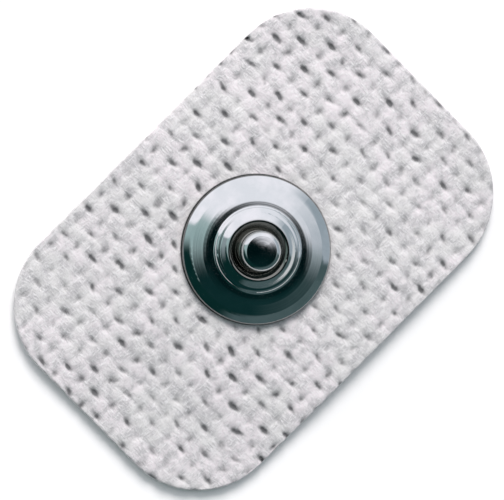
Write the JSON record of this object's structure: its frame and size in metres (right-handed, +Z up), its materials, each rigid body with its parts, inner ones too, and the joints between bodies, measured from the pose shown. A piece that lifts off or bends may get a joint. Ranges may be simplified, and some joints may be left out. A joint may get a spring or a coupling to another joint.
{
  "type": "ecg electrode",
  "caption": "Disposable snap electrode: a rounded white cloth patch with a riveted metal snap stud on top and a coated sensor and gel disc beneath, for picking up heart signals.",
  "frame": {"origin": "centre of the gel's skin face, on the surface that the electrode lies on, under the snap's axis", "axes": "+Z up out of the snap's head, +X along the patch's long side, +Y along its short side"},
  "size_m": [0.045, 0.03, 0.006],
  "materials": {
    "stud_metal": "bright nickel plate on drawn sheet, with faint turned lines",
    "sensor_coat": "dull silver and silver chloride coat",
    "cloth": "soft white nonwoven with a woven-looking relief",
    "gel": "clear wet hydrogel"
  },
  "bodies": {
    "root": {"snap_stud": "stud_metal", "sensor_eyelet": "sensor_coat", "cloth_backing": "cloth", "gel_pad": "gel"}
  },
  "joints": []
}
